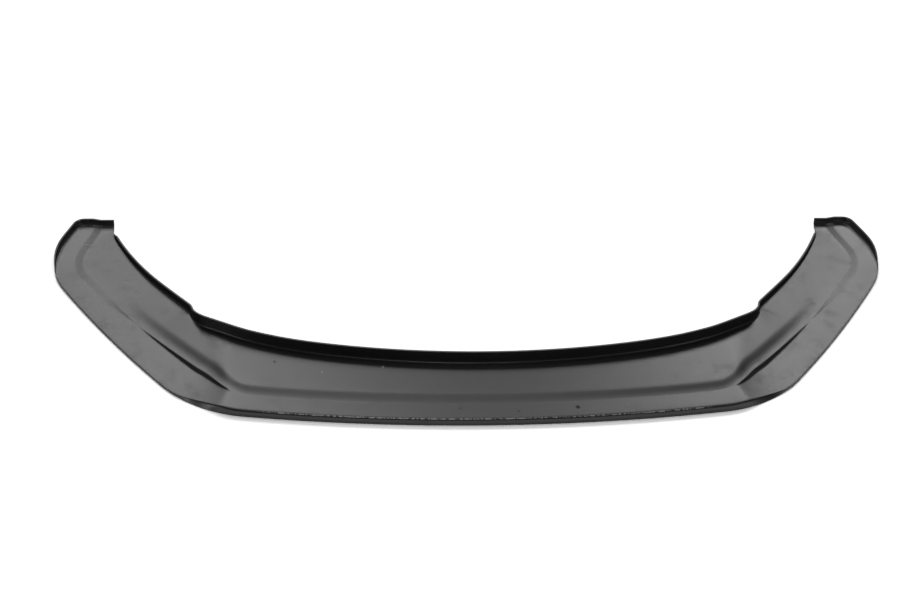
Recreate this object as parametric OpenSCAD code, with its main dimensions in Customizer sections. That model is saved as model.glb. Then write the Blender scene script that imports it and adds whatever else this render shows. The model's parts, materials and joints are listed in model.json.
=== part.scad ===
// Front splitter lip for a car: one sheet of plastic, vacuum formed and trimmed.
// X runs across the car, the front edge faces -Y and Z is up. The lip lies on the ground, as it
// does on a bench, and the origin is under the middle of its overall box.
// The wide inner floor, the pan, seats under the bumper. The outer strip, the blade, stands
// forward of the bumper. The nose turns down in front, the flange stands up behind, and each
// tip has a fence round its outer side and its end.

/* [Overall] */
// Width over both tips
lip_width = 1700; // [1500:10:1900]
// Depth from the middle of the front edge to the back of the tips
lip_depth = 588; // [540:2:660]
// Thickness of the formed sheet
sheet = 3.5; // [2.5:0.1:4.5]

/* [Outer edge] */
// Turn of the bowed front edge from the middle to the corner, in degrees
front_turn = 7.4; // [4:0.1:12]
// Length of the rounded front corner along the edge
corner_run = 182; // [140:2:230]
// Turn of the front corner, in degrees
corner_turn = 41; // [36:0.5:46]
// Turn of the long side edge, in degrees
side_turn = 8.5; // [5:0.5:12]
// Length of the bend ahead of the tip
bend_run = 145; // [110:5:180]
// Turn of the bend ahead of the tip, in degrees
bend_turn = 56; // [48:0.5:60]
// Straight outer side of the tip, up to its rounded corner
tip_side = 47; // [36:1:60]
// Radius of the tip's outer corner
tip_corner = 24; // [20:1:30]

/* [Inner edge] */
// Depth of the lip at its middle, from the front edge to the back of the flange
mid_depth = 156.5; // [140:0.5:180]
// Distance from the middle of the car to the tip's inner corner
tip_inner = 738; // [715:1:742]
// Turn of the middle stretch of the rear edge, in degrees
rear_turn = 11.5; // [8:0.5:14]
// Length of the tighter stretch ahead of the notch
shoulder_run = 202; // [170:2:240]
// Turn of the tighter stretch, in degrees
shoulder_turn = 20.5; // [16:0.5:23]
// Length of the notch's outward curve
notch_run = 50; // [42:1:56]
// Turn of the notch's outward curve, in degrees
notch_turn = 48; // [40:1:54]
// Length of the curve that leads from the notch into the arm
notch_return = 13; // [10:1:20]
// Turn of that curve, back the other way, in degrees
return_turn = 31.5; // [26:0.5:36]
// Turn of the straighter half of the arm's inner edge, in degrees
arm_turn = 1; // [0.5:0.5:4]
// Length of the curved half of the arm's inner edge
arm_run = 207; // [170:1:235]
// Turn of the curved half, in degrees
arm_bend = 17.5; // [14:0.5:22]

/* [Floor] */
// Width of the blade in the middle
blade_mid = 41; // [36:1:48]
// Width of the blade round the front corner
blade_corner = 72; // [64:1:80]
// Width of the blade at the tip
blade_tip = 50; // [44:1:54]
// Height of the blade's top above the ground in the middle, which is the nose's height
nose_h = 14.5; // [11:0.5:20]
// Least drop of the trimmed edge below the sheet, along the sides
edge_drop = 1; // [0.6:0.1:2]
// Soft rise from the blade to the pan in the middle
pan_rise = 3; // [1.5:0.5:5]
// Soft rise from the ledge to the pan, just past the corner
corner_rise = 4.5; // [3:0.5:6]
// Width of that soft rise
rise_run = 27; // [20:1:32]
// Width of the flat ledge between the step and the soft rise, past the corner
ledge_w = 6; // [3:1:12]
// How much the blade stands above the pan at the tip
tip_step = 3.5; // [2:0.5:5]
// Length of the ramp on which the blade falls to the side edge
ramp_run = 150; // [120:2:170]
// How far past the end of the bowed front the ramp starts
ramp_start = 44; // [30:2:60]
// Length over which the ledge falls, from just past the start of the ramp
ledge_fall = 350; // [320:5:360]
// How far past the start of the ramp the pan starts to fall
pan_start_gap = 70; // [40:5:90]
// Length over which the pan falls
pan_fall = 435; // [390:5:450]
// Half of the width of the step on the rear half of the arm, where it is a soft slope
tip_step_half = 7; // [4:0.5:7.5]

/* [Walls] */
// Outside radius along the nose
nose_r = 4.5; // [3.8:0.1:6]
// How far the nose leans out at its foot in the middle
nose_lean = 1.5; // [0.5:0.5:3]
// How far it leans out at its foot on the round of the corner
corner_lean = 7.5; // [4:0.5:10]
// Height of the rear flange above the pan
flange_h = 26; // [18:0.5:34]
// Height of the flange where it leaves the notch along the arm
arm_flange_h = 15.5; // [12:0.5:22]
// Inside radius at the foot of the flange
flange_r = 3; // [2:0.5:5]
// Lean of the flange, in degrees
flange_lean = 4; // [1:0.5:7]
// Height of the tip's fence above the floor beside it
fence_h = 14; // [12:0.5:18]
// Inside radius at the foot of the fence
fence_r = 9; // [6:0.5:9.5]
// Lean of the fence, in degrees
fence_lean = 8; // [3:0.5:12]

/* [Hidden] */

// Stations along half of the lip: how many steps each stretch of the outer edge gets
front_steps = 8;
corner_steps = 12;
notch_steps = 9;
side_steps = 9;
tip_steps = 13;

// Depth of floor that the edge profiles reshape, from the outer edge and from the inner one
outer_zone = tip_corner;
inner_zone = sheet + flange_r + 4;
// Half of the width over which the step's riser climbs on the sides, and how much further its
// edges round off
riser_half = 0.9;
riser_round = 1.7;
// Distance from the start of the ramp to the start of the ledge's fall
ledge_gap = 12;
// How sharply the blade and the ledge start to fall: 1 is a straight slope
ramp_power = 2.1;
ledge_power = 1.35;
// Share of the side edge at which the blade starts to rise towards the tip
lift_from = 0.56;
// Share of the side edge at which the step starts to turn into a soft slope, and the length that
// this takes
soften_from = 0.5;
soften_run = 110;
// Below this height an upright wall fades into a flat edge
fade_h = 10;
// Share of the side edge where the notch begins and ends, seen from the outer edge
notch_from = 0.20;
notch_to = 0.44;
// Length over which the section lines swing parallel to the tip's end
swing_run = 90;
// Length over which the arm's flange runs out at the tip
fade_run = 45;

function clamp(t) = max(0, min(1, t));
function ease(t) = let (c = clamp(t)) c * c * (3 - 2 * c);
function mix(a, b, t) = a + (b - a) * t;
function dir(a) = [cos(a), sin(a)];

// Displacement along an arc of a given length that starts at heading a and turns by turn degrees
function hop(length, a, turn) =
    abs(turn) < 0.001
        ? length * dir(a)
        : length / (turn * PI / 180) * [sin(a + turn) - sin(a), cos(a) - cos(a + turn)];

// Point and heading at distance s along a chain of [length, turn] arcs
function along(chain, s, p = [0, 0], a = 0, i = 0) =
    let (length = chain[i][0], turn = chain[i][1])
    s <= length || i == len(chain) - 1
        ? [p + hop(s, a, turn * s / length), a + turn * s / length]
        : along(chain, s - length, p + hop(length, a, turn), a + turn, i + 1);

// Factors k and m for which k * u + m * v gives the vector w
function solve(u, v, w) =
    let (det = u.x * v.y - u.y * v.x)
    [(w.x * v.y - w.y * v.x) / det, (u.x * w.y - u.y * w.x) / det];

// Outer edge: the runs of the front and of the side follow from the overall width and depth
side_heading = front_turn + corner_turn;
bend_heading = side_heading + side_turn;
tip_heading = bend_heading + bend_turn;
corner_hop = hop(corner_run, front_turn, corner_turn);
bend_hop = hop(bend_run, bend_heading, bend_turn);
to_widest = hop(bend_run * (90 - bend_heading) / bend_turn, bend_heading, 90 - bend_heading);
to_centre = tip_side * dir(tip_heading) + tip_corner * dir(tip_heading + 90);
outer_runs = solve(
    hop(1, 0, front_turn),
    hop(1, side_heading, side_turn),
    [
        lip_width / 2 - corner_hop.x - to_widest.x,
        lip_depth - tip_corner - corner_hop.y - bend_hop.y - to_centre.y
    ]
);
outer_chain = [
    [outer_runs[0], front_turn],
    [corner_run, corner_turn],
    [outer_runs[1], side_turn],
    [bend_run, bend_turn],
    [tip_side, 0]
];
front_end = outer_runs[0];
corner_end = front_end + corner_run;
side_end = corner_end + outer_runs[1];
outer_end = side_end + bend_run + tip_side;
notch_start = mix(corner_end, side_end, notch_from);
notch_end = mix(corner_end, side_end, notch_to);
ramp_from = front_end + ramp_start;
ramp_to = ramp_from + ramp_run;

// Centre of the tip's outer corner, on which the floor's own corner lies
corner_centre = along(outer_chain, outer_end)[0] + tip_corner * dir(tip_heading + 90);

// Inner edge: the middle run and the arm's straighter run follow from where the tip ends
shoulder_heading = rear_turn;
notch_heading = shoulder_heading + shoulder_turn;
return_heading = notch_heading + notch_turn;
arm_heading = return_heading - return_turn;
curve_heading = arm_heading + arm_turn;
inner_runs = solve(
    hop(1, 0, rear_turn),
    hop(1, arm_heading, arm_turn),
    [tip_inner, corner_centre.y - mid_depth]
        - hop(shoulder_run, shoulder_heading, shoulder_turn)
        - hop(notch_run, notch_heading, notch_turn)
        - hop(notch_return, return_heading, -return_turn)
        - hop(arm_run, curve_heading, arm_bend)
);
inner_chain = [
    [inner_runs[0], rear_turn],
    [shoulder_run, shoulder_turn],
    [notch_run, notch_turn],
    [notch_return, -return_turn],
    [inner_runs[1], arm_turn],
    [arm_run, arm_bend]
];
inner_notch = inner_runs[0] + shoulder_run;
inner_arm = inner_notch + notch_run + notch_return;
inner_end = inner_arm + inner_runs[1] + arm_run;

// Distance along the inner edge that faces distance s along the outer one
function facing(s) = lookup(s, [
    [0, 0],
    [front_end, inner_runs[0] + shoulder_run / 2],
    [notch_start, inner_notch],
    [notch_end, inner_arm],
    [side_end, inner_end - arm_run / 2],
    [outer_end, inner_end]
]);

// Heights of the top of the sheet above the ground, at distance s along the outer edge
side_z = sheet + edge_drop;
function late(s) = ease((s - side_end) / (outer_end - side_end));
function soften(s) = ease((s - mix(corner_end, side_end, soften_from)) / soften_run);
function tip_rise(s) =
    let (from = mix(corner_end, side_end, lift_from))
    ease((s - from) / (outer_end - from));
// What is left of a fall that starts sharply and ends softly
function left(s, from, run, power) = pow(1 - clamp((s - from) / run), power);
function blade_z(s) =
    mix(mix(side_z, nose_h, left(s, ramp_from, ramp_run, ramp_power)), sheet + tip_step, tip_rise(s));
function ledge_z(s) = mix(sheet, nose_h, left(s, ramp_from + ledge_gap, ledge_fall, ledge_power));
// The pan is highest along the flange, and drops to the soft rise on the arms
function seat_z(s) =
    mix(nose_h + pan_rise, sheet, ease((s - ramp_from - pan_start_gap) / pan_fall));
function rise_h(s) =
    mix(pan_rise, corner_rise, widen(s)) * (1 - ease((s - corner_end) / (side_end - corner_end)));
function pan_z(s) = min(seat_z(s), ledge_z(s) + rise_h(s));
function widen(s) = ease((s - front_end + 10) / (corner_run - 30));
function blade_w(s) =
    s < corner_end
        ? mix(blade_mid, blade_corner, widen(s))
        : mix(blade_corner, blade_tip, clamp((s - corner_end) / (side_end + 40 - corner_end)));

// Heights of the walls along the edges
function fence_at(s) = fence_h * ease((s - side_end - 8) / (bend_run - 8));
function flange_at(s) =
    s < notch_end
        ? mix(flange_h, arm_flange_h, ease((s - notch_start) / (notch_end - notch_start)))
        : mix(arm_flange_h, fade_h, clamp((s - notch_end) / (outer_end - fade_run - notch_end)))
            * (1 - ease((s - outer_end + fade_run) / (fade_run - 12)));

// Lean of the nose from upright, in degrees: more on the round of the corner, none on the sides
function nose_angle(s) =
    let (u = clamp((s - front_end - 14) / 140), peak = 16 * u * u * (1 - u) * (1 - u))
    atan2(mix(nose_lean * (1 - widen(s)), corner_lean, peak), blade_z(s));

// Edge profiles as [distance outwards, height] pairs, from the floor to the rim: the top skin's
// five points, then the bottom skin's five. A profile fills a zone of the floor up to its edge.
arc_shares = [0, 1 / 3, 2 / 3, 1];

function wall_up(zone, h, r, lean) =
    let (start = zone - (r + sheet) / cos(lean) - (h - r) * tan(lean), sweep = 90 - lean)
    [
        concat(
            [for (k = arc_shares) [start + r * sin(k * sweep), r * (1 - cos(k * sweep))]],
            [[zone - sheet / cos(lean), h]]
        ),
        concat(
            [for (k = arc_shares)
                [start + (r + sheet) * sin(k * sweep), r - (r + sheet) * cos(k * sweep)]],
            [[zone, h]]
        )
    ];

function edge_down(zone, drop, lean) =
    let (
        r = max(1, nose_r * (drop - side_z) / (nose_h - side_z)),
        inner_r = min(max(r - sheet, 0.5), (drop - sheet) / 2),
        sweep = 90 - lean,
        round_off = function (radius, fall)
            radius * sin(sweep) + (fall - radius * (1 - cos(sweep))) * tan(lean),
        start = zone - round_off(r, drop),
        inner_start = zone - sheet / cos(lean) - round_off(inner_r, drop - sheet)
    )
    [
        concat(
            [for (k = arc_shares) [start + r * sin(k * sweep), r * cos(k * sweep) - r]],
            [[zone, -drop]]
        ),
        concat(
            [for (k = arc_shares)
                [
                    inner_start + inner_r * sin(k * sweep),
                    inner_r * cos(k * sweep) - inner_r - sheet
                ]],
            [[zone - sheet / cos(lean), -drop]]
        )
    ];

function edge_flat(zone) =
    [
        concat([for (k = arc_shares) [zone - 6 + 5 * k, 0]], [[zone, 0]]),
        concat([for (k = arc_shares) [zone - 6 + 5 * k, -sheet]], [[zone, -sheet]])
    ];

function outer_profile(s) =
    let (h = fence_at(s), up = wall_up(outer_zone, max(h, fade_h), fence_r, fence_lean))
    mix(edge_down(outer_zone, blade_z(s), nose_angle(s)), up, clamp(h / fade_h));

function inner_profile(s) =
    let (h = flange_at(s), up = wall_up(inner_zone, max(h, fade_h), flange_r, flange_lean))
    mix(edge_flat(inner_zone), up, clamp(h / fade_h));

end_profile = wall_up(outer_zone, fence_h, fence_r, fence_lean);

// The floor between the two edge zones at distance s, as [x, y, top, bottom shift] rows. The
// bottom of the riser is shifted along the floor, so that the sheet keeps its thickness there.
function floor_rows(s) =
    let (
        edge = along(outer_chain, s),
        swing = (tip_heading - 90) * ease((s - outer_end + swing_run) / swing_run),
        start = edge[0] + outer_zone * dir(edge[1] + 90),
        across = dir(edge[1] + 90 - swing),
        rim = along(inner_chain, facing(s), [0, mid_depth]),
        inner_swing = (90 - curve_heading - arm_bend)
            * ease((s - outer_end + swing_run) / swing_run),
        stop = rim[0] + inner_zone * dir(rim[1] + inner_swing - 90),
        low = blade_z(s),
        ledge = ledge_z(s),
        pan = pan_z(s),
        seat = seat_z(s),
        step = blade_w(s) - outer_zone,
        half = mix(riser_half, tip_step_half, soften(s)) * (1 - 0.15 * late(s)),
        reach = half + riser_round,
        shift = sheet * tan(atan2(ledge - low, 2 * half) / 2),
        narrow = 1 - 0.7 * late(s),
        rise_from = step + reach + mix(1, ledge_w, widen(s)) * narrow,
        rise = rise_run * mix(1, 1.15, widen(s)) * narrow,
        pan_start = start + (rise_from + rise) * across
    )
    concat(
        [for (row = [
            [0, low, 0],
            [step / 2, low, 0],
            [step - reach, low, min(shift, 0)],
            [step - half, mix(low, ledge, 0.1), shift],
            [step + half, mix(low, ledge, 0.9), shift],
            [step + reach, ledge, max(shift, 0)],
            [rise_from, ledge, 0],
            [rise_from + rise * 0.3, mix(ledge, pan, 0.22), 0],
            [rise_from + rise * 0.55, mix(ledge, pan, 0.6), 0],
            [rise_from + rise * 0.8, mix(ledge, pan, 0.92), 0]
        ]) concat(start + row[0] * across, row[1], [row[2] * across])],
        [for (k = [0, 0.4, 0.75, 1])
            concat(mix(pan_start, stop, k), mix(pan, seat, k), [[0, 0]])]
    );

// One closed section of the sheet: the top skin from the outer rim to the inner one, then the
// bottom skin back
function section(s) =
    let (
        edge = along(outer_chain, s),
        rim = along(inner_chain, facing(s), [0, mid_depth]),
        inner_swing = (90 - curve_heading - arm_bend)
            * ease((s - outer_end + swing_run) / swing_run),
        outwards = dir(edge[1] - 90),
        inwards = dir(rim[1] + inner_swing + 90),
        rows = floor_rows(s),
        first = rows[0],
        last = rows[len(rows) - 1],
        outer = outer_profile(s),
        inner = inner_profile(s),
        place = function (row, way, point)
            concat([row.x, row.y] + point[0] * way, row[2] + point[1])
    )
    concat(
        [for (i = [4:-1:0]) place(first, outwards, outer[0][i])],
        [for (row = rows) [row.x, row.y, row[2]]],
        [for (i = [0:4]) place(last, inwards, inner[0][i])],
        [for (i = [4:-1:0]) place(last, inwards, inner[1][i])],
        [for (i = [len(rows) - 1:-1:0])
            concat([rows[i].x, rows[i].y] + rows[i][3], rows[i][2] - sheet)],
        [for (i = [0:4]) place(first, outwards, outer[1][i])]
    );

// The tip's end: the last section is bent up, step by step, into the end of the fence. Round the
// outer corner the rings of the side and of the end meet on arcs about the corner's centre.
function end_section(step) =
    let (
        rows = floor_rows(outer_end),
        first = rows[0],
        last = rows[len(rows) - 1],
        edge_rim = edge_flat(inner_zone),
        lift = [for (skin = [0, 1]) end_profile[skin][step - 1]],
        corner = function (skin, i)
            let (
                ring = max(i + 1, step),
                turn = 0.5 + 0.5 * (step - i - 1) / ring,
                a = mix(tip_heading - 90, 90, turn),
                point = end_profile[skin][ring - 1]
            )
            concat([first.x, first.y] + point[0] * dir(a), first[2] + point[1]),
        back = function (skin, i)
            [last.x - edge_rim[skin][i][0], last.y + lift[skin][0], last[2] + lift[skin][1]]
    )
    concat(
        [for (i = [4:-1:0]) corner(0, i)],
        [for (row = rows) [row.x, row.y + lift[0][0], row[2] + lift[0][1]]],
        [for (i = [0:4]) back(0, i)],
        [for (i = [4:-1:0]) back(1, i)],
        [for (i = [len(rows) - 1:-1:0])
            [
                rows[i].x + rows[i][3].x,
                rows[i].y + rows[i][3].y + lift[1][0],
                rows[i][2] + lift[1][1]
            ]],
        [for (i = [0:4]) corner(1, i)]
    );

// Distances of the stations, from the middle to the tip
function steps(from, to, count) = [for (i = [1:count]) mix(from, to, i / count)];
stations = concat(
    [0],
    steps(0, front_end, front_steps),
    steps(front_end, ramp_from, 3),
    steps(ramp_from, corner_end, corner_steps),
    steps(corner_end, notch_start, 3),
    steps(notch_start, notch_end, notch_steps),
    steps(notch_end, side_end, side_steps),
    steps(side_end, outer_end, tip_steps)
);

module splitter_lip() {
    half = concat(
        [for (s = stations) section(s)],
        [for (step = [1:5]) end_section(step)]
    );
    count = len(half);
    ring = len(half[0]);
    columns = concat(
        [for (i = [count - 1:-1:1]) [for (p = half[i]) [-p.x, p.y, p.z]]],
        half
    );
    last = len(columns) - 1;
    at = function (c, r) c * ring + r % ring;
    walls = [for (c = [0:last - 1], r = [0:ring - 1])
        each c < count - 1
            ? [
                [at(c, r), at(c, r + 1), at(c + 1, r)],
                [at(c + 1, r), at(c, r + 1), at(c + 1, r + 1)]
            ]
            : [
                [at(c, r), at(c, r + 1), at(c + 1, r + 1)],
                [at(c, r), at(c + 1, r + 1), at(c + 1, r)]
            ]];
    rims = [for (r = [0:ring / 2 - 2])
        each [
            [at(0, r + 1), at(0, r), at(0, ring - 1 - r)],
            [at(0, r + 1), at(0, ring - 1 - r), at(0, ring - 2 - r)],
            [at(last, r), at(last, r + 1), at(last, ring - 1 - r)],
            [at(last, r + 1), at(last, ring - 2 - r), at(last, ring - 1 - r)]
        ]];
    color([0.09, 0.09, 0.1])
        translate([0, -lip_depth / 2, 0])
            polyhedron(points = [for (column = columns) each column], faces = concat(walls, rims));
}

splitter_lip();
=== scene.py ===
# %% [markdown]
# # Front splitter lip: from a packed model to a finished picture
# A front splitter lip is a wide, shallow tray of black plastic under a car's front bumper. The
# packed model holds its true form, one formed and trimmed sheet. This lesson gives that form a
# smooth skin, the finish of moulded plastic and the light of a product photograph. Everything
# is in metres. X runs across the car, the nose faces -Y and Z is up.

import json
from math import cos, pi, radians, sin

import bmesh
import bpy
from mathutils import Matrix, Vector

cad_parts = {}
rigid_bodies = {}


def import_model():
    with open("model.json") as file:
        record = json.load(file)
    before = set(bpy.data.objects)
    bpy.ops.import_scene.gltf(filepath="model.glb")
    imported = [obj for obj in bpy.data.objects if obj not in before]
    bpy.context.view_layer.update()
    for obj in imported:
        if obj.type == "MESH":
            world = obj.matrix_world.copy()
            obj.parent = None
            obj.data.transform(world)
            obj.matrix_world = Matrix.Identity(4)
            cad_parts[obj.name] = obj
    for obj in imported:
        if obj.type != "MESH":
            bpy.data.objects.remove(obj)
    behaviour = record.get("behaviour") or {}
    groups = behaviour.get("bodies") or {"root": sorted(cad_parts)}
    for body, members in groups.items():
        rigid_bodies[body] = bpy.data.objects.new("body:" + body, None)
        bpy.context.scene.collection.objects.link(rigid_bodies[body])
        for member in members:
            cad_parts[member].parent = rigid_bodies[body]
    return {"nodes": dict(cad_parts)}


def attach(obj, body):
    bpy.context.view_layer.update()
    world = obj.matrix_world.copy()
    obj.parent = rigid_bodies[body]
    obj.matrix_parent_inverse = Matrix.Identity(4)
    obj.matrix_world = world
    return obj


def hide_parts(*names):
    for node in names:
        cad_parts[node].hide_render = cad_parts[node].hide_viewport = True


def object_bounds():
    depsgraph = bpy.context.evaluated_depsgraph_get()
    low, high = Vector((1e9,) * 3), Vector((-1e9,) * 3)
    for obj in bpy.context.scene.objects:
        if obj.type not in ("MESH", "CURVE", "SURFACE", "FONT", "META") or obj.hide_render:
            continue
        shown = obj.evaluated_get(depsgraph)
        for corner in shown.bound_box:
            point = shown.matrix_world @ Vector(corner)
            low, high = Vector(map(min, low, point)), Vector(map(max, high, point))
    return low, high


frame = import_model()
cad_box = [list(corner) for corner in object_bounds()]
low, high = (Vector(corner) for corner in cad_box)
print("the lip measures", [round(side, 4) for side in high - low])

# %% [markdown]
# ## The camera
# The photograph was taken from the front, a little to one side and well above the lip, with a
# fairly long lens. The outline of the lip in the picture gave the angles below. A camera could
# be aimed by a constraint, but it also leans a little to one side here, so it is placed by what
# it looks at, how far off it stands, and three turns.

# %% Which way the camera looks
CAMERA_ELEVATION = radians(42.0)
CAMERA_YAW = radians(5.79)
CAMERA_ROLL = radians(3.51)

forward = Vector((
    sin(CAMERA_YAW) * cos(CAMERA_ELEVATION),
    cos(CAMERA_YAW) * cos(CAMERA_ELEVATION),
    -sin(CAMERA_ELEVATION),
))
level_right = Vector((cos(CAMERA_YAW), -sin(CAMERA_YAW), 0.0))
level_up = level_right.cross(forward)
right = cos(CAMERA_ROLL) * level_right + sin(CAMERA_ROLL) * level_up
up = cos(CAMERA_ROLL) * level_up - sin(CAMERA_ROLL) * level_right
print("the camera looks along", [round(value, 3) for value in forward])

# %% The camera
LENS_MM = 70.43
SENSOR_MM = 36.0
CAMERA_DISTANCE = 3.604
AIM_LEFT = 0.034
AIM_BEHIND_NOSE = 0.332

aim = Vector((-AIM_LEFT, low.y + AIM_BEHIND_NOSE, 0.0))
camera_data = bpy.data.cameras.new("camera")
camera_data.lens = LENS_MM
camera_data.sensor_width = SENSOR_MM
camera_data.sensor_fit = "HORIZONTAL"
camera = bpy.data.objects.new("camera", camera_data)
bpy.context.scene.collection.objects.link(camera)
turn = Matrix((right, up, -forward)).transposed().to_4x4()
camera.matrix_world = Matrix.Translation(aim - CAMERA_DISTANCE * forward) @ turn
bpy.context.scene.camera = camera
print("the camera stands at", [round(value, 3) for value in camera.matrix_world.translation])

# %% [markdown]
# ## Selecting in code
# An operator of edit mode acts on all that is selected, and a loaded model arrives selected. So
# these helpers first clear the selection, make one object active, and then go in and out of
# edit mode around a few operators.

# %% Helpers for selection


def only(piece):
    """Selects this piece alone and makes it active."""
    for other in bpy.context.view_layer.objects:
        other.select_set(other is piece)
    bpy.context.view_layer.objects.active = piece
    return piece


class Editing:
    """Edit mode on one piece, for the length of a with block."""

    def __init__(self, piece):
        self.piece = piece

    def __enter__(self):
        only(self.piece)
        bpy.ops.object.mode_set(mode="EDIT")
        return bmesh.from_edit_mesh(self.piece.data)

    def __exit__(self, *problem):
        bpy.ops.object.mode_set(mode="OBJECT")
        return False


print("loaded nodes that can be edited as copies:", len(frame["nodes"]))

# %% [markdown]
# ## The skin of the lip
# A vacuum-formed sheet has no hard facets: its surface flows, and only the trimmed rim is crisp.
# The lip could be modelled afresh from a plane, but the packed model already has its true form,
# and a copy of it can't drift away from the solid. That model is made of loose triangles, so the
# copy is merged first. Its triangles then pair up into the quads that its sections were lofted
# from, and a crease along the trimmed rim keeps the rim crisp when the rest is rounded.

# %% A merged copy of the lip
MERGE_DISTANCE = 0.00001
node = frame["nodes"]["splitter_lip"]
lip = bpy.data.objects.new("lip_skin", node.data.copy())
bpy.context.scene.collection.objects.link(lip)
lip.data.materials.clear()
with Editing(lip):
    bpy.ops.mesh.select_all(action="SELECT")
    bpy.ops.mesh.remove_doubles(threshold=MERGE_DISTANCE)
    bpy.ops.mesh.tris_convert_to_quads(face_threshold=pi, shape_threshold=pi)
corner_counts = [len(face.vertices) for face in lip.data.polygons]
print("quads:", corner_counts.count(4), "triangles:", corner_counts.count(3))

# %% The trimmed rim
RIM_ANGLE = radians(60)
RIM_CREASE = 0.9


def rim_of(mesh):
    """The sharp edges, along which the sheet's cut face meets its skin."""
    return {
        edge for edge in mesh.edges
        if len(edge.link_faces) == 2 and edge.calc_face_angle() > RIM_ANGLE
    }


with Editing(lip) as mesh:
    edge_numbers = mesh.edges.layers.float
    crease = edge_numbers.get("crease_edge") or edge_numbers.new("crease_edge")
    rim = rim_of(mesh)
    for edge in rim:
        edge[crease] = RIM_CREASE
    bmesh.update_edit_mesh(lip.data)
    print("rim edges:", len(rim))

# %% [markdown]
# ## Marking the cut face and the crest
# The trimming knife leaves the cut matt and paler than the moulded skin, and along the crest of
# the nose a highlight is painted in small dashes. The faces of the cut lie between two rim edges,
# one sheet thickness apart. The crest is where the skin turns from facing up to facing forward,
# high on the front. Each could be a material of its own, but a number stored in the mesh survives
# the subdivision, and one material can read it. A number on faces keeps a hard border, for the
# cut, and a number on points fades at its border, for the crest.

# %% The cut face
SHEET = 0.0035
CUT_SLACK = 1.3
with Editing(lip) as mesh:
    cut = mesh.faces.layers.float.new("cut_face")
    rim = rim_of(mesh)
    cut_count = 0
    for face in mesh.faces:
        rim_sides = sum(edge in rim for edge in face.edges)
        shortest_side = min(edge.calc_length() for edge in face.edges)
        if rim_sides >= 2 and shortest_side < SHEET * CUT_SLACK:
            face[cut] = 1.0
            cut_count += 1
    bmesh.update_edit_mesh(lip.data)
print("faces of the cut:", cut_count)

# %% The crest of the nose
LANE = 0.01
CREST_DEPTH = 0.009
CREST_REACH = 0.40
CREST_HEIGHT = 0.0105
CREST_LEAN = (0.25, 0.8)
CREST_RISE = 0.3


def lane_of(vertex):
    """The lane across the car in which a point lies, counted from the middle."""
    return round(vertex.co.x / LANE)


def on_crest(vertex, foremost):
    """Whether a point is on the crest, where foremost is the front of its lane."""
    near_front = vertex.co.y < foremost + CREST_DEPTH and abs(vertex.co.x) < CREST_REACH
    turning = CREST_LEAN[0] < -vertex.normal.y < CREST_LEAN[1] and vertex.normal.z > CREST_RISE
    return near_front and turning and vertex.co.z > CREST_HEIGHT


with Editing(lip) as mesh:
    crest_layer = mesh.verts.layers.float.new("crest")
    front = {}
    for vertex in mesh.verts:
        front[lane_of(vertex)] = min(front.get(lane_of(vertex), 0.0), vertex.co.y)
    crest_points = [vertex for vertex in mesh.verts if on_crest(vertex, front[lane_of(vertex)])]
    for vertex in crest_points:
        vertex[crest_layer] = 1.0
    bmesh.update_edit_mesh(lip.data)
    print("points of the crest:", len(crest_points))

# %% [markdown]
# ## Softer slopes at the tips
# In the photograph the slope on the rear half of each arm fades into the floor beside it. A
# smoothing brush would do that by hand, and would also round the walls. So here only the gentle
# skin is chosen, by its normals, and the height of each of its points is drawn towards its
# neighbours' heights, where a near neighbour counts for more. The walls and the rim stay.

# %% Softer slopes at the tips
SLOPE_START = 0.02
SLOPE_FULL = 0.10
GENTLE = 0.93
SLOPE_ROUNDS = 6
MM_IN_A_METRE = 1000
with Editing(lip) as mesh:
    shares = {}
    for vertex in mesh.verts:
        gentle = min(abs(face.normal.z) for face in vertex.link_faces) > GENTLE
        if gentle and vertex.co.y > SLOPE_START:
            shares[vertex] = min(1.0, (vertex.co.y - SLOPE_START) / (SLOPE_FULL - SLOPE_START))
    pulls = {
        vertex: [(edge.other_vert(vertex), 1.0 / edge.calc_length()) for edge in vertex.link_edges]
        for vertex in shares
    }
    before = {vertex: vertex.co.z for vertex in shares}
    for _ in range(SLOPE_ROUNDS):
        heights = {
            vertex: sum(other.co.z * pull for other, pull in near) / sum(pull for _, pull in near)
            for vertex, near in pulls.items()
        }
        for vertex, height in heights.items():
            vertex.co.z += shares[vertex] * (height - vertex.co.z)
    moved = max(abs(vertex.co.z - before[vertex]) for vertex in shares) * MM_IN_A_METRE
    bmesh.update_edit_mesh(lip.data)
print("points drawn:", len(shares), "the furthest by", round(moved, 2), "mm")

# %% [markdown]
# ## A smooth skin
# One level of subdivision turns each quad into four and rounds the folds between them, and the
# creased rim holds. More levels would add faces and nothing to see. Shading by angle then keeps
# the line along the rim sharp. The skin stands for the packed solid from here on, which is
# hidden, and rides on the lip's one body.

# %% A smooth skin
SKIN_LEVELS = 1
SMOOTH_ANGLE = radians(40)
flow = lip.modifiers.new("flow", "SUBSURF")
flow.levels = SKIN_LEVELS
flow.render_levels = SKIN_LEVELS
only(lip)
bpy.ops.object.modifier_apply(modifier=flow.name)
bpy.ops.object.shade_smooth_by_angle(angle=SMOOTH_ANGLE)
print("the skin has", len(lip.data.polygons), "faces")
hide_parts("splitter_lip")
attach(lip, "root")

# %% [markdown]
# ## Writing a material as arithmetic
# A node tree soon turns into a tangle, so a small class wraps a socket: an expression such as
# `1 - mask * 0.5` then adds its own Math nodes. Every other node comes from one method. Colours
# need a Mix node, because a Math node would turn them grey.

# %% A wrapper for shader sockets


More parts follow.
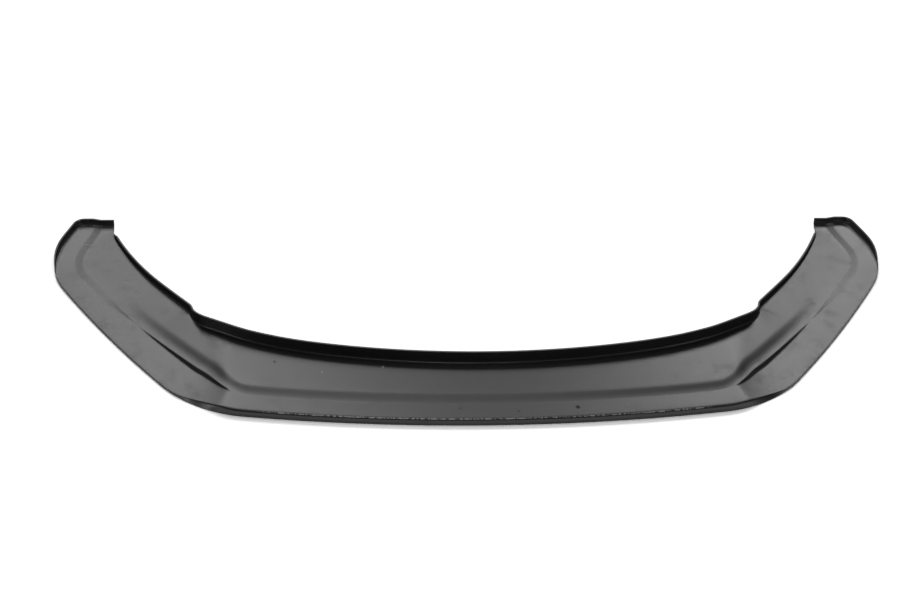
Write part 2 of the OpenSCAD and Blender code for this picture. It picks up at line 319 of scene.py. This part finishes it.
class Socket:
    """One output socket of a material, which can be used in an expression."""

    def __init__(self, tree, output):
        self.tree = tree
        self.output = output

    def math(self, operation, *values):
        return node_of(self.tree, "ShaderNodeMath", {"operation": operation}, values)

    def __add__(self, other):
        return self.math("ADD", self, other)

    def __radd__(self, other):
        return self.math("ADD", other, self)

    def __sub__(self, other):
        return self.math("SUBTRACT", self, other)

    def __rsub__(self, other):
        return self.math("SUBTRACT", other, self)

    def __mul__(self, other):
        return self.math("MULTIPLY", self, other)

    def __rmul__(self, other):
        return self.math("MULTIPLY", other, self)

    def clamp(self):
        return self.math("MINIMUM", self.math("MAXIMUM", self, 0.0), 1.0)

    def between(self, start, end):
        """0 below start, 1 above end and a smooth step between them."""
        return node_of(
            self.tree, "ShaderNodeMapRange", {"interpolation_type": "SMOOTHSTEP"},
            {"Value": self, "From Min": start, "From Max": end},
        )


def node_of(tree, kind, settings=None, inputs=None, output=0):
    """Adds a node, sets it, feeds its inputs with values or sockets, and returns an output."""
    added = tree.nodes.new(kind)
    for name, value in (settings or {}).items():
        setattr(added, name, value)
    pairs = inputs.items() if isinstance(inputs, dict) else enumerate(inputs or ())
    for name, value in pairs:
        if isinstance(value, Socket):
            tree.links.new(value.output, added.inputs[name])
        else:
            added.inputs[name].default_value = value
    return Socket(tree, added.outputs[output])


def mix_colours(share, first, second):
    """The first colour where share is 0 and the second where it is 1.

    A Mix node has a set of sockets for each kind of value, all with the same names, so the ones
    for colours go by number: 0 is the factor, 6 and 7 are the colours and output 2 the result.
    """
    return node_of(
        share.tree, "ShaderNodeMix", {"data_type": "RGBA"},
        {0: share, 6: first, 7: second}, output=2,
    )


print("a socket has", sum(callable(value) for value in vars(Socket).values()), "methods")

# %% [markdown]
# ## The black plastic
# The sheet is black ABS with a satin gloss. It takes nearly all its look from what it reflects,
# so its colour is almost black and the work is in its roughness and in a very fine bump. Out of
# a mould it has a faint orange peel, and handling leaves fine scuffs and some pale dust. Each of
# these is a noise in the piece's own coordinates, which needs no image and no unwrapping.

# %% The black plastic
plastic = bpy.data.materials.new("lip_plastic")
plastic.use_nodes = True
tree = plastic.node_tree
tree.nodes.clear()
place = node_of(tree, "ShaderNodeTexCoord", output="Object")


def noise(scale, detail=2.0, rough=0.5, vector=place):
    """A noise from 0 to 1, with this many lumps to a metre."""
    return node_of(
        tree, "ShaderNodeTexNoise", {},
        {"Vector": vector, "Scale": scale, "Detail": detail, "Roughness": rough},
    )


def stretched(angle, along, across):
    """Object coordinates turned and scaled, so that a noise in them runs in strokes."""
    return node_of(
        tree, "ShaderNodeMapping", {},
        {"Vector": place, "Rotation": (0.0, 0.0, radians(angle)), "Scale": (along, across, 1.0)},
    )


print("the plastic is started with", len(tree.nodes), "node")

# %% The texture of the skin
DUST_CUT = (0.68, 0.75)
SMEAR_CUT = (0.50, 0.72)
SCRATCH_CUT = (0.60, 0.68)

clouds = noise(scale=5.0, detail=3.0)
grain = noise(scale=900.0)
mottle = noise(scale=330.0)
peel = noise(scale=160.0, detail=1.0)
dust = noise(scale=420.0, detail=3.0, rough=0.7).between(*DUST_CUT)
smears = noise(scale=26.0, detail=4.0, rough=0.65).between(*SMEAR_CUT)
strokes = stretched(angle=38.0, along=0.35, across=4.0)
scratches = noise(scale=110.0, detail=3.0, rough=0.6, vector=strokes).between(*SCRATCH_CUT)
print("the plastic has", len(tree.nodes), "nodes so far")

# %% [markdown]
# ## Marks of handling
# The photograph shows this lip as it came from the bench: a few scuffs, most of them on its left
# arm, some specks of dust, a few dark dots and some smudges. Painting them would need an image.
# Here each is a soft spot at a place on the sheet, given as x, y and radius, and spots of one
# kind add up to one mask.

# %% Marks of handling
SCUFFS = (
    (-0.790, 0.226, 0.020), (-0.743, 0.172, 0.018),
    (-0.700, 0.116, 0.018), (0.756, 0.247, 0.014),
)
SPECKS = (
    (-0.310, -0.164, 0.0028), (-0.194, -0.152, 0.0034),
    (-0.674, 0.077, 0.003), (0.549, -0.209, 0.0026),
)
DOTS = (
    (0.170, -0.262, 0.0065), (0.058, -0.271, 0.0035),
    (-0.400, -0.135, 0.0032), (-0.052, -0.262, 0.0032),
)
SMUDGES = (
    (-0.108, -0.233, 0.030), (-0.027, -0.239, 0.024),
    (0.533, -0.183, 0.022), (-0.205, -0.238, 0.018),
)
# Painted highlight: these spots paint the cut paler along the left side edge, where light falls on
# it.
LIT_EDGE_SPOTS = ((-0.735, -0.010, 0.10), (-0.645, -0.100, 0.10), (-0.560, -0.175, 0.07))
SMUDGE_CUT = (0.35, 0.60)
WITHOUT_HEIGHT = (1.0, 1.0, 0.0)

flat = node_of(
    tree, "ShaderNodeVectorMath", {"operation": "MULTIPLY"}, {0: place, 1: WITHOUT_HEIGHT},
)


def spots(places, core):
    """1 in the core of each of these places, which is a share of its radius, and 0 outside."""
    total = 0.0
    for x, y, radius in places:
        away = node_of(
            tree, "ShaderNodeVectorMath", {"operation": "DISTANCE"},
            {0: flat, 1: (x, y, 0.0)}, output="Value",
        )
        total = (1 - away.between(radius * core, radius)) + total
    return total.clamp()


scuffed = spots(SCUFFS, core=0.2) * scratches
specks = spots(SPECKS, core=0.3)
dots = spots(DOTS, core=0.1)
painted_edge_highlight = spots(LIT_EDGE_SPOTS, core=0.5)
smudges = spots(SMUDGES, core=0.1) * noise(scale=70.0, detail=3.0).between(*SMUDGE_CUT)
print("the marks bring it to", len(tree.nodes), "nodes")

# %% [markdown]
# ## The cut, the foot and the crest of the nose
# The first stored number marks the cut face, which stress has whitened. Along the left side edge
# the cut is painted paler still, a painted highlight where light falls on it. The height above
# the ground marks the last millimetre and a half of the sheet, which stands on the floor, and it
# is painted a little paler, partly the cut's own tone and partly a painted highlight along the
# bottom edge. Along the crest, the second stored number, a highlight is painted in small dashes.

# %% The cut, the foot and the crest of the nose
FOOT_TOP = 0.0016
FOOT_CORE = 0.6
CREST_FADE = (0.3, 0.9)
DASH_CUT = (0.42, 0.60)

cut_face = node_of(tree, "ShaderNodeAttribute", {"attribute_name": "cut_face"}, output="Fac")
height_above = node_of(tree, "ShaderNodeSeparateXYZ", {}, {"Vector": place}, output="Z")
# The foot is painted paler: partly the cut's own tone, partly a painted highlight along the bottom
# edge.
foot = 1 - height_above.between(FOOT_TOP * FOOT_CORE, FOOT_TOP)
crest = node_of(tree, "ShaderNodeAttribute", {"attribute_name": "crest"}, output="Fac")
# A painted highlight along the crest of the nose, broken into small dashes.
painted_crest_highlight = crest.between(*CREST_FADE) * noise(scale=260.0).between(*DASH_CUT)
print("the masks bring it to", len(tree.nodes), "nodes")

# %% [markdown]
# ## From masks to a finish
# Three tables say how much each mask makes the plastic paler, rougher and raised. The scuffs are
# cut into the skin, so theirs is taken away from the height. A pale mark on black shows in any
# light, and a rough one only where it dims a reflection: specks, the cut and the foot get both,
# the dark dots and the smudges are only rough, and the painted highlights on the crest and along
# the left side edge are only pale.

# %% The colour
PLASTIC_DARK = (0.009, 0.009, 0.010, 1.0)
PLASTIC_DUSTY = (0.034, 0.033, 0.032, 1.0)
PALE = (0.60, 0.60, 0.60, 1.0)
DUSTIER = {"clouds": 0.22, "dust": 0.6}
PALER = {"cut": 0.25, "edge_highlight": 0.75, "foot": 0.15, "painted_crest_highlight": 0.65, "scuffed": 0.25, "specks": 0.45}

dusty = (clouds * DUSTIER["clouds"] + dust * DUSTIER["dust"]).clamp()
moulded = mix_colours(dusty, PLASTIC_DARK, PLASTIC_DUSTY)
# The cut's own paler tone is real; along the left side edge it is painted paler still, a painted
# highlight.
pale = cut_face * (PALER["cut"] + painted_edge_highlight * PALER["edge_highlight"])
pale = pale + foot * PALER["foot"] + painted_crest_highlight * PALER["painted_crest_highlight"]
pale = (pale + scuffed * PALER["scuffed"] + specks * PALER["specks"]).clamp()
colour = mix_colours(pale, moulded, PALE)
print("the colour runs from", PLASTIC_DARK[:3], "to", PALE[:3])

# %% The roughness and the relief
SATIN = 0.30
ROUGHER = {
    "cut": 0.25, "foot": 0.2, "specks": 0.3, "dots": 0.6, "smudges": 0.06,
    "clouds": 0.04, "smears": 0.04, "mottle": 0.10, "dust": 0.15,
}
NOISE_MIDDLE = 0.5
RAISED = {"peel": 0.4, "mottle": 0.35, "grain": 0.25, "smears": 0.15}
SCUFF_DEPTH = 3.5

marks = cut_face * ROUGHER["cut"] + foot * ROUGHER["foot"] + specks * ROUGHER["specks"]
marks = marks + dots * ROUGHER["dots"] + smudges * ROUGHER["smudges"]
roughness = SATIN + clouds * ROUGHER["clouds"] + smears * ROUGHER["smears"]
roughness = roughness + (mottle - NOISE_MIDDLE) * ROUGHER["mottle"]
roughness = (roughness + dust * ROUGHER["dust"] + marks).clamp()
height = peel * RAISED["peel"] + mottle * RAISED["mottle"] + grain * RAISED["grain"]
height = height + smears * RAISED["smears"] - scuffed * SCUFF_DEPTH
print("the plain skin has a roughness of about", SATIN)

# %% The shader
RELIEF = {"Strength": 0.08, "Distance": 0.0005}
PLASTIC_IOR = 1.5

relief = node_of(tree, "ShaderNodeBump", {}, {**RELIEF, "Height": height})
shader = node_of(
    tree, "ShaderNodeBsdfPrincipled", {},
    {"Base Color": colour, "Roughness": roughness, "Normal": relief, "IOR": PLASTIC_IOR},
)
output = tree.nodes.new("ShaderNodeOutputMaterial")
tree.links.new(shader.output, output.inputs["Surface"])
lip.data.materials.append(plastic)
print("the plastic has", len(tree.nodes), "nodes")

# %% [markdown]
# ## A floor that shows white
# The photograph has a plain white ground, which a floor lit at a plain level doesn't reach, and
# more light on it would also be more light on the lip. So the floor has one colour for the light
# that it passes on, and a brighter one for what the camera and the reflections see. The brighter
# colour multiplies the same light, so the shadow of the lip stays on it. The panels don't reach
# the far floor, which is shown as plain white.

# %% The floor's plane
FLOOR_SIZE = 160.0
FLOOR_DROP = 0.0003
bpy.ops.mesh.primitive_plane_add(size=FLOOR_SIZE, location=(0.0, 0.0, low.z - FLOOR_DROP))
floor = bpy.context.active_object
floor.name = "floor"
print("the floor lies", FLOOR_DROP, "m below the lip")

# %% The floor's white
FLOOR_LIT = (0.8, 0.8, 0.8, 1.0)
FLOOR_SHOWN = (2.2, 2.2, 2.2, 1.0)
FAR_RANGE = (1.1, 1.9)
PLAIN_WHITE = 1.0

floor_material = bpy.data.materials.new("floor_white")
floor_material.use_nodes = True
floor_tree = floor_material.node_tree
floor_tree.nodes.clear()
camera_ray = node_of(floor_tree, "ShaderNodeLightPath", output="Is Camera Ray")
glossy_ray = node_of(floor_tree, "ShaderNodeLightPath", output="Is Glossy Ray")
through_ray = node_of(floor_tree, "ShaderNodeLightPath", output="Is Transmission Ray")
seen = (camera_ray + glossy_ray + through_ray).clamp()
shown = mix_colours(seen, FLOOR_LIT, FLOOR_SHOWN)
on_floor = node_of(floor_tree, "ShaderNodeTexCoord", output="Object")
reach = node_of(
    floor_tree, "ShaderNodeVectorMath", {"operation": "LENGTH"}, {0: on_floor}, output="Value",
)
near_floor = node_of(floor_tree, "ShaderNodeBsdfDiffuse", {}, {"Color": shown})
far_floor = node_of(floor_tree, "ShaderNodeEmission", {}, {"Strength": PLAIN_WHITE})
mixed = node_of(
    floor_tree, "ShaderNodeMixShader", {},
    {0: reach.between(*FAR_RANGE) * seen, 1: near_floor, 2: far_floor},
)
floor_output = floor_tree.nodes.new("ShaderNodeOutputMaterial")
floor_tree.links.new(mixed.output, floor_output.inputs["Surface"])
floor.data.materials.append(floor_material)
print("the floor shows", round(FLOOR_SHOWN[0] / FLOOR_LIT[0], 2), "times as bright as it is lit")

# %% [markdown]
# ## Panels of light
# Black plastic is lit by what it mirrors, so each panel stands where a part of the lip mirrors
# it to the camera. A direction says that best: an azimuth, clockwise from straight behind the
# lip, and an elevation. The panels behind the arms make them shine, and the weak one between
# them leaves the middle deep. One overhead fills the bends, a small one over the camera's
# shoulder draws a faint line along the foot of the flange, and two low ones in front light that
# foot and the trimmed edge.

# %% The panels
PANEL_DISTANCE = 6.0


def panel(name, azimuth, elevation, size, watts):
    """A rectangular light in this direction from the lip, turned to face it."""
    side, rise = radians(azimuth), radians(elevation)
    spot = PANEL_DISTANCE * Vector((sin(side) * cos(rise), cos(side) * cos(rise), sin(rise)))
    light_data = bpy.data.lights.new(name, "AREA")
    light_data.shape = "RECTANGLE"
    light_data.size, light_data.size_y = size
    light_data.energy = watts
    light = bpy.data.objects.new(name, light_data)
    bpy.context.scene.collection.objects.link(light)
    light.location = spot
    light.rotation_euler = (-spot).to_track_quat("-Z", "Y").to_euler()
    return light


panels = [
    panel("tall_left", azimuth=-16.0, elevation=41.5, size=(1.2, 2.4), watts=51.0),
    panel("wide_left", azimuth=-16.0, elevation=50.0, size=(2.7, 0.9), watts=29.0),
    panel("gap", azimuth=8.0, elevation=51.0, size=(2.4, 0.8), watts=11.0),
    panel("behind_right", azimuth=27.5, elevation=40.5, size=(1.4, 1.4), watts=62.0),
    panel("overhead", azimuth=0.0, elevation=72.0, size=(2.4, 1.6), watts=28.0),
    panel("low_left", azimuth=-124.0, elevation=12.0, size=(1.8, 0.7), watts=36.0),
    panel("low_right", azimuth=138.0, elevation=12.0, size=(1.8, 0.7), watts=26.0),
    panel("over_shoulder", azimuth=180.0, elevation=72.0, size=(0.5, 0.5), watts=32.0),
]
print("panels:", len(panels), "watts in all:", sum(light.data.energy for light in panels))

# %% [markdown]
# ## The room
# A studio is never quite dark, so a faint white world fills what the panels miss. A standard
# view transform shows each colour as it is written.

# %% The room
ROOM_WHITE = (1.0, 1.0, 1.0, 1.0)
ROOM_STRENGTH = 0.09
world = bpy.data.worlds.new("studio")
bpy.context.scene.world = world
world.use_nodes = True
room_light = world.node_tree.nodes["Background"]
room_light.inputs["Color"].default_value = ROOM_WHITE
room_light.inputs["Strength"].default_value = ROOM_STRENGTH
bpy.context.scene.view_settings.view_transform = "Standard"
print("the room's own light has a strength of", ROOM_STRENGTH)

# %% [markdown]
